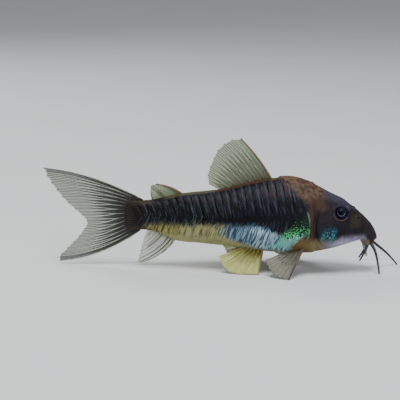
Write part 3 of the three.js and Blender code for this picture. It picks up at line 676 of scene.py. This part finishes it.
def rod_between(shape, path, radii, sides):
    """A round tapering rod along a path of points, closed at both ends."""
    rows = len(path) + 1
    made, row, turn = round_grid(shape, sides, rows)
    run = np.gradient(path, axis=0)
    run /= np.linalg.norm(run, axis=1, keepdims=True)
    guide = np.array([0.31, 0.83, 0.46])
    normal = np.cross(run, guide)
    normal /= np.linalg.norm(normal, axis=1, keepdims=True)
    third = np.cross(run, normal)
    ring = np.clip(row - 1, 0, len(path) - 1)
    radius = np.where((row == 0) | (row == rows), 0.0, radii[ring])
    cap = np.where(row == 0, -0.6, np.where(row == rows, 0.6, 0.0)) * radii[ring]
    centre = path[ring] + run[ring] * cap[:, None]
    out = normal[ring] * np.cos(turn)[:, None] + third[ring] * np.sin(turn)[:, None]
    moved(made, centre + out * radius[:, None])
    return made


def nearest(made, path):
    """The number of the path's point that lies nearest to each vertex."""
    places = np.array([v.co[:] for v in made]) / MM
    return np.argmin(np.linalg.norm(places[:, None] - path[None], axis=2), axis=1)


def fin_rays(fin):
    place = fin_place(fin)

    def fill(shape):
        along_mark = shape.verts.layers.float.new("along")
        ray_mark = shape.verts.layers.float.new("ray")
        count, split = fin["rays"], fin["split"]
        for r in range(count):
            home = r / (count - 1)
            stout = r == 0 and fin["spine"] > 1
            branches = [0.0] if stout or r in fin.get("plain", ()) else [-1.5, -0.5, 0.5, 1.5]
            for b in branches:
                along = np.linspace(0.0, 1.0 if stout else 0.995, RAY_POINTS)
                first = step(split, split + 0.30, along) * np.sign(b)
                second = step(split + 0.24, split + 0.53, along) * (b - np.sign(b))
                spread = fin["fork"] / (count - 1)
                share = np.clip(home + spread * (first + second), 0, 1)
                path = place(share, along)
                thick = fin["thick"] * (fin["spine"] if stout else 1.0)
                joint = 1 - 0.08 * (np.arange(RAY_POINTS) % 2 == 0)
                radii = thick * (1 - 0.62 * along**0.8) * joint * (0.8 if len(branches) > 1 else 1)
                made = rod_between(shape, path, radii, 6 if len(branches) > 1 else 10)
                for vert, k in zip(made, nearest(made, path)):
                    vert[along_mark] = float(along[k])
                    vert[ray_mark] = float(stout)

    return fill


def fin_web(fin):
    place = fin_place(fin)

    def fill(shape):
        along_mark = shape.verts.layers.float.new("along")
        share_mark = shape.verts.layers.float.new("share")
        gaps = fin["rays"] - 1
        bmesh.ops.create_grid(shape, x_segments=gaps * 8, y_segments=36, size=1.0)
        co = np.array([v.co[:] for v in shape.verts])
        share, along = (co[:, 0] + 1) / 2, (co[:, 1] + 1) / 2
        phase = share * gaps
        between = np.abs(np.sin(np.pi * phase))
        ragged = 0.008 * np.sin(phase * np.pi * 4.0 + 1.3)
        reach = 1.0 - fin["scallop"] * between + ragged
        place_now = place(share, along * np.minimum(1.0, reach))
        facing = np.array(fin["normal"], float) / np.linalg.norm(fin["normal"])
        ripple = 0.07 * np.sin(phase * np.pi * 2) * np.sin(np.pi * along)
        moved(shape.verts, place_now + facing * ripple[:, None])
        for vert, a, s in zip(shape.verts, along, share):
            vert[along_mark] = float(a)
            vert[share_mark] = float(s * gaps)
        bmesh.ops.solidify(shape, geom=list(shape.faces), thickness=0.10 * MM)

    return fill


def web_finish(
    name, root, middle, margin, line, pale, solid,
    root_end=0.35, lines=1.0, line_end=1.0, calm=0.0, outer=None, middle_ray=0.0,
):
    """Thin fin skin: darker and thicker at the root, clearer towards the margin, lined beside the rays.

    lines is the number of dark lines for each ray, and calm how far they fade out behind the first few.
    outer is a tone for the rays far from middle_ray.
    """
    paint = Paint(name)
    along, share = paint.mark("along"), paint.mark("share")
    cloud = paint.noise(1.6, 3.0)
    fine = paint.noise(0.35, 2.0)
    tone = paint.mix((along + (cloud - 0.5) * 0.4).fade(root_end - 0.3, root_end), root, middle)
    tone = paint.mix((along + (cloud - 0.5) * 0.4).fade(0.4, 0.95), tone, margin)
    branches = (share * (4 * FULL_TURN) + fine).wave().fade(0.3, 0.9) * along.fade(0.2, 0.6)
    tone = paint.mix(branches * 0.75, tone, pale)
    if outer:
        tone = paint.mix(abs(share - middle_ray).fade(4.8, 6.6) * 0.6, tone, outer)
    beside = (share * (FULL_TURN * lines) + 0.9).wave().fade(0.25, 0.9) * along.fade(line_end, line_end * 0.4)
    beside = beside * (1.0 - share.fade(2.2, 4.4) * calm)
    tone = paint.mix(beside * 0.85, tone, line)
    solidness = solid[0] + along.fade(0.0, 0.8) * (solid[1] - solid[0])
    solidness = solidness + beside * 0.4 + (cloud - 0.5) * 0.2 + (fine - 0.5) * 0.2
    return paint.set(
        Base_Color=tone,
        Alpha=solidness.least(1.0).most(0.1),
        Roughness=0.45 + fine * 0.15,
        Normal=paint.bump(cloud * 0.5 + fine * 0.5, 0.3, 0.08),
        **WET,
    )


def ray_finish(name, root, pale, dark, spine):
    """Rays of jointed bone: dark at the root, pale beyond, with faint darker joints; the spine browner."""
    paint = Paint(name)
    along, kind = paint.mark("along"), paint.mark("ray")
    cloud = paint.noise(1.1, 3.0)
    fine = paint.noise(0.3, 2.0)
    tone = paint.mix((along + (cloud - 0.5) * 0.3).fade(0.02, 0.3), root, pale)
    joints = (along * 150.0 + cloud * 2.0).wave().fade(0.6, 0.95)
    tone = paint.mix(joints * along.fade(0.15, 0.4) * 0.35, tone, dark)
    tone = paint.mix(kind.fade(0.4, 0.6), tone, paint.mix(cloud.fade(0.4, 0.6), spine, dark))
    return paint.set(
        Base_Color=tone,
        Roughness=0.45 + fine * 0.15,
        Normal=paint.bump(fine, 0.3, 0.05),
        **WET,
    )


sail_web = web_finish(
    "sail_skin", root=rgb(84, 68, 46), middle=rgb(102, 114, 90), margin=rgb(112, 128, 104),
    line=rgb(66, 74, 58), pale=rgb(156, 164, 138), solid=(0.92, 0.64), lines=2.0,
)
sail_rays = ray_finish("sail_rays", rgb(84, 62, 40), rgb(186, 190, 158), rgb(96, 90, 70), rgb(126, 98, 68))
soft_web = web_finish(
    "adipose_skin", root=rgb(92, 84, 58), middle=rgb(108, 116, 84), margin=rgb(122, 134, 104),
    line=rgb(92, 98, 70), pale=rgb(130, 140, 110), solid=(0.9, 0.6),
)
soft_rays = ray_finish("adipose_rays", rgb(84, 62, 40), rgb(136, 146, 112), rgb(96, 96, 70), rgb(122, 92, 54))
tail_web = web_finish(
    "tail_skin", root=rgb(32, 27, 23), middle=rgb(66, 72, 62), margin=rgb(92, 102, 86),
    line=rgb(28, 31, 29), pale=rgb(156, 164, 146), solid=(1.0, 0.64), root_end=0.42, lines=2.0,
    outer=rgb(44, 38, 33), middle_ray=7.0,
)
tail_rays = ray_finish("tail_rays", rgb(40, 34, 29), rgb(204, 208, 194), rgb(112, 112, 100), rgb(74, 70, 56))
anal_web = web_finish(
    "anal_skin", root=rgb(120, 116, 88), middle=rgb(176, 180, 160), margin=rgb(196, 200, 186),
    line=rgb(10, 10, 12), pale=rgb(200, 204, 190), solid=(0.7, 0.42), root_end=0.3, lines=1.5, line_end=1.6,
    calm=0.6,
)
anal_rays = ray_finish(
    "anal_rays", rgb(150, 146, 118), rgb(214, 216, 200), rgb(90, 90, 80), rgb(170, 166, 142)
)
grey_web = web_finish(
    "pectoral_skin", root=rgb(84, 64, 40), middle=rgb(80, 77, 62), margin=rgb(108, 110, 98),
    line=rgb(24, 20, 17), pale=rgb(136, 136, 122), solid=(1.0, 0.55), lines=1.5, line_end=1.2,
)
grey_rays = ray_finish("pectoral_rays", rgb(80, 60, 38), rgb(142, 138, 116), rgb(50, 44, 36), rgb(88, 70, 50))
yellow_web = web_finish(
    "pelvic_skin", root=rgb(108, 84, 32), middle=rgb(156, 154, 60), margin=rgb(182, 188, 94),
    line=rgb(98, 88, 38), pale=rgb(200, 202, 132), solid=(1.0, 0.6), root_end=0.52, lines=1.5, line_end=1.1,
)
yellow_rays = ray_finish(
    "pelvic_rays", rgb(92, 70, 30), rgb(204, 202, 130), rgb(128, 110, 54), rgb(150, 136, 72)
)

# Places in millimetres. spine is the first ray's thickness against the others, fork the width of the
# forked rays and split the share of its length at which a ray first forks; plain rays do not fork.
MEDIAN = [0, 1, 0]
FINS = {
    "dorsal_fin": dict(
        roots=[[12.9, 0, 21.0], [6, 0, 19.9], [1.2, 0, 18.6]],
        tips=[[5.0, 0, 31.7], [2.4, 0, 31.3], [-0.4, 0, 29.2], [-2.1, 0, 25.8], [-3.0, 0, 22.8],
              [-2.7, 0, 20.5]],
        rays=8, normal=MEDIAN, bow=[0.5, 0], spine=1.8, thick=0.2, fork=0.24, split=0.3, scallop=0.03,
        look=(sail_web, sail_rays),
    ),
    "adipose_fin": dict(
        roots=[[-8.6, 0, 17.4], [-13, 0, 16.0], [-16.5, 0, 15.4]],
        tips=[[-15.6, 0, 20.3], [-16.9, 0, 19.8], [-17.0, 0, 18.4]],
        rays=3, normal=MEDIAN, bow=[0.6, 0], spine=1.7, thick=0.2, fork=0.12, split=0.42, scallop=0.02,
        look=(soft_web, soft_rays),
    ),
    "tail_fin": dict(
        roots=[[-18.9, 0, 16.3], [-22.0, 0, 15.3], [-22.9, 0, 12.7], [-22.0, 0, 10.0], [-19.6, 0, 8.9]],
        tips=[[-43.4, 0, 24.0], [-41.9, 0, 20.9], [-37.9, 0, 15.9], [-33.3, 0, 11.7], [-32.7, 0, 10.6],
              [-34.2, 0, 7.9], [-37.6, 0, 4.2], [-39.9, 0, 1.7], [-39.6, 0, 0.75]],
        rays=15, normal=MEDIAN, bow=[1.4, -1.6], spine=1.0, thick=0.17, fork=0.25, split=0.22, scallop=0.02,
        plain=(0, 14), look=(tail_web, tail_rays),
    ),
    "anal_fin": dict(
        roots=[[-10.6, 0, 7.3], [-14.2, 0, 8.8], [-17.4, 0, 9.8]],
        tips=[[-19.2, 0, 0.8], [-20.2, 0, 0.75], [-20.0, 0, 2.4], [-19.3, 0, 4.8], [-18.6, 0, 7.0],
              [-18.2, 0, 7.9]],
        rays=7, normal=MEDIAN, bow=[-1.0, 0], spine=1.15, thick=0.2, fork=0.16, split=0.5, scallop=0.03,
        plain=(0, 1, 2), look=(anal_web, anal_rays),
    ),
}
PECTORAL_ROOT = [[21.2, 5.4, 7.9], [19.8, 5.6, 6.6], [18.3, 5.2, 5.8]]
PECTORAL_TIPS = [[17.2, 13.6, 0.2], [15.6, 13.1, 0.2], [14.1, 12.2, 0.6], [12.7, 11.0, 1.8], [11.5, 9.3, 3.9]]
PELVIC_ROOT = [[10.6, 3.2, 6.2], [9.4, 3.1, 6.3], [7.9, 2.9, 6.4]]
PELVIC_TIPS = [[9.8, 8.7, 0.2], [7.0, 8.8, 0.2], [4.4, 8.4, 0.2], [1.6, 7.6, 1.4], [0.2, 6.6, 4.0]]
for side, side_name in ((1, "left"), (-1, "right")):
    pair = dict(bow=[0, 0], thick=0.2, fork=0.16, split=0.42, scallop=0.03)
    FINS[f"pectoral_fin_{side_name}"] = dict(
        roots=np.array(PECTORAL_ROOT) * [1, side, 1], tips=np.array(PECTORAL_TIPS) * [1, side, 1],
        rays=8, normal=[0.5, 0.5 * side, -0.6], spine=2.1, look=(grey_web, grey_rays), **pair,
    )
    FINS[f"pelvic_fin_{side_name}"] = dict(
        roots=np.array(PELVIC_ROOT) * [1, side, 1], tips=np.array(PELVIC_TIPS) * [1, side, 1],
        rays=6, normal=[0.4, -0.5 * side, 0.7], spine=1.1, look=(yellow_web, yellow_rays), **pair,
    )
for fin_name, fin in FINS.items():
    web = link(f"{fin_name}_web", fin_web(fin), fin["look"][0])
    rays = link(f"{fin_name}_rays", fin_rays(fin), fin["look"][1])
    for piece in (web, rays):
        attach(piece, "root")
    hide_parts(fin_name)

# --- Eyes ---------------------------------------------------------------------------------------
# Glossy balls of clear tissue over a blue-black iris, set in the bony sockets.
# A thin blue-grey ring, paler on one side, runs round the pupil.
EYE_RADIUS, EYE_SUNK, EYE_TILT = 1.9, 1.25, np.radians(24)
EYE_SIDES, EYE_ROWS = 64, 60


def eye_mesh(side):
    outward = np.array([0.0, np.cos(EYE_TILT) * side, np.sin(EYE_TILT)])
    skin = skin_point(EYE_X, angle_at(EYE_X, EYE_HEIGHT)) * [1, side, 1]
    centre = skin - outward * EYE_SUNK
    fore = np.array([1.0, 0.0, 0.0])
    third = np.cross(outward, fore)

    def fill(shape):
        far_mark = shape.verts.layers.float.new("far")
        turn_mark = shape.verts.layers.float.new("turn")
        made, row, turn = round_grid(shape, EYE_SIDES, EYE_ROWS)
        polar = np.pi * row / EYE_ROWS
        bulge = EYE_RADIUS * (1 + 0.05 * np.exp(-((polar / 0.5) ** 2)))
        flat = bulge * np.sin(polar)
        place = centre + outward * (bulge * np.cos(polar))[:, None]
        place = place + fore * (flat * np.cos(turn))[:, None] + third * (flat * np.sin(turn))[:, None]
        moved(made, place)
        for vert, f, p, t in zip(made, flat, polar, turn):
            vert[far_mark] = float(f if p < np.pi / 2 else 2 * EYE_RADIUS - f)
            vert[turn_mark] = float(t)

    return fill


eye_paint = Paint("wet_eye")
far = eye_paint.mark("far")
eye_cloud = eye_paint.noise(0.35, 3.0)
turn = eye_paint.mark("turn")
iris = eye_paint.mix(eye_cloud.fade(0.3, 0.7), rgb(8, 8, 24), rgb(20, 18, 46))
ring_tone = eye_paint.mix(turn.wave().fade(0.6, -0.6), rgb(34, 33, 66), rgb(96, 100, 134))
eye_tone = eye_paint.mix(far.fade(0.80, 0.86), rgb(6, 6, 12), ring_tone)
eye_tone = eye_paint.mix(far.fade(0.91, 0.98), eye_tone, iris)
eye_tone = eye_paint.mix(far.fade(1.36, 1.5), eye_tone, rgb(6, 6, 12))
eye_paint.set(
    Base_Color=eye_tone,
    Roughness=0.3 + eye_cloud * 0.1,
    Coat_Weight=0.01,
    Coat_Roughness=0.1,
    Specular_IOR_Level=0.07,
    Normal=eye_paint.bump(eye_cloud, 0.08, 0.03),
)
for side, side_name in ((1, "left"), (-1, "right")):
    eye = link(f"eyeball_{side_name}", eye_mesh(side), eye_paint.material)
    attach(eye, "root")
    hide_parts(f"eye_{side_name}")

# --- Barbels ------------------------------------------------------------------------------------
# Soft feelers of skin at the corners of the mouth and under the chin, tapering to blunt tips.
# Their skin is ringed and a little knobbly, as with small taste buds.
BARBEL_ROOT, BARBEL_TIP = 0.44, 0.19
BARBELS = {
    "upper_barbel_left": [[36.4, 1.9, 7.1], [38.0, 3.2, 5.6], [40.6, 4.6, 3.2], [43.15, 6.0, 0.14]],
    "upper_barbel_right": [[36.4, -1.9, 7.1], [37.5, -3.0, 5.4], [38.2, -4.2, 2.8], [38.6, -5.1, 0.12]],
    "lower_barbel_left": [[35.8, 2.0, 6.8], [35.5, 3.3, 5.2], [34.7, 4.3, 3.5], [33.8, 4.8, 2.0]],
    "lower_barbel_right": [[35.8, -2.0, 6.8], [35.3, -3.0, 5.4], [34.6, -3.6, 4.2], [33.9, -3.9, 3.0]],
    "chin_barbel_left": [[34.8, 0.9, 6.6], [35.1, 1.05, 5.2], [35.6, 1.3, 3.6]],
    "chin_barbel_right": [[34.8, -0.9, 6.6], [35.1, -1.05, 5.2], [35.6, -1.3, 3.6]],
}


def barbel_mesh(points):
    def fill(shape):
        along_mark = shape.verts.layers.float.new("along")
        share = np.linspace(0, 1, 90)
        path = smooth_path(points)(share)
        radii = BARBEL_ROOT + (BARBEL_TIP - BARBEL_ROOT) * share**0.7
        radii = radii * (1 + 0.06 * np.sin(share * 110) + 0.04 * np.sin(share * 47 + 1))
        made = rod_between(shape, path, radii, 16)
        for vert, k in zip(made, nearest(made, path)):
            vert[along_mark] = float(share[k])
            vert.co.z = max(vert.co.z, 0.0)

    return fill


def barbel_finish(name, first, second, root):
    paint = Paint(name)
    along = paint.mark("along")
    cloud = paint.noise(0.7, 3.0)
    fine = paint.noise(0.2, 2.0)
    tone = paint.mix(cloud.fade(0.35, 0.65), first, second)
    tone = paint.mix(along.fade(0.3, 0.0) * 0.6, tone, root)
    return paint.set(
        Base_Color=tone,
        Roughness=0.5 + fine * 0.15,
        Normal=paint.bump(fine, 0.5, 0.06),
        **WET,
    )


dark_barbel = barbel_finish("dark_barbel_skin", rgb(24, 26, 40), rgb(40, 42, 58), rgb(60, 52, 58))
pale_barbel = barbel_finish("pale_barbel_skin", rgb(138, 140, 112), rgb(166, 166, 142), rgb(120, 112, 96))
for barbel_name, points in BARBELS.items():
    barbel_skin = pale_barbel if barbel_name.startswith("chin") else dark_barbel
    barbel = link(f"{barbel_name}_skin", barbel_mesh(points), barbel_skin)
    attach(barbel, "root")
    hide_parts(barbel_name)
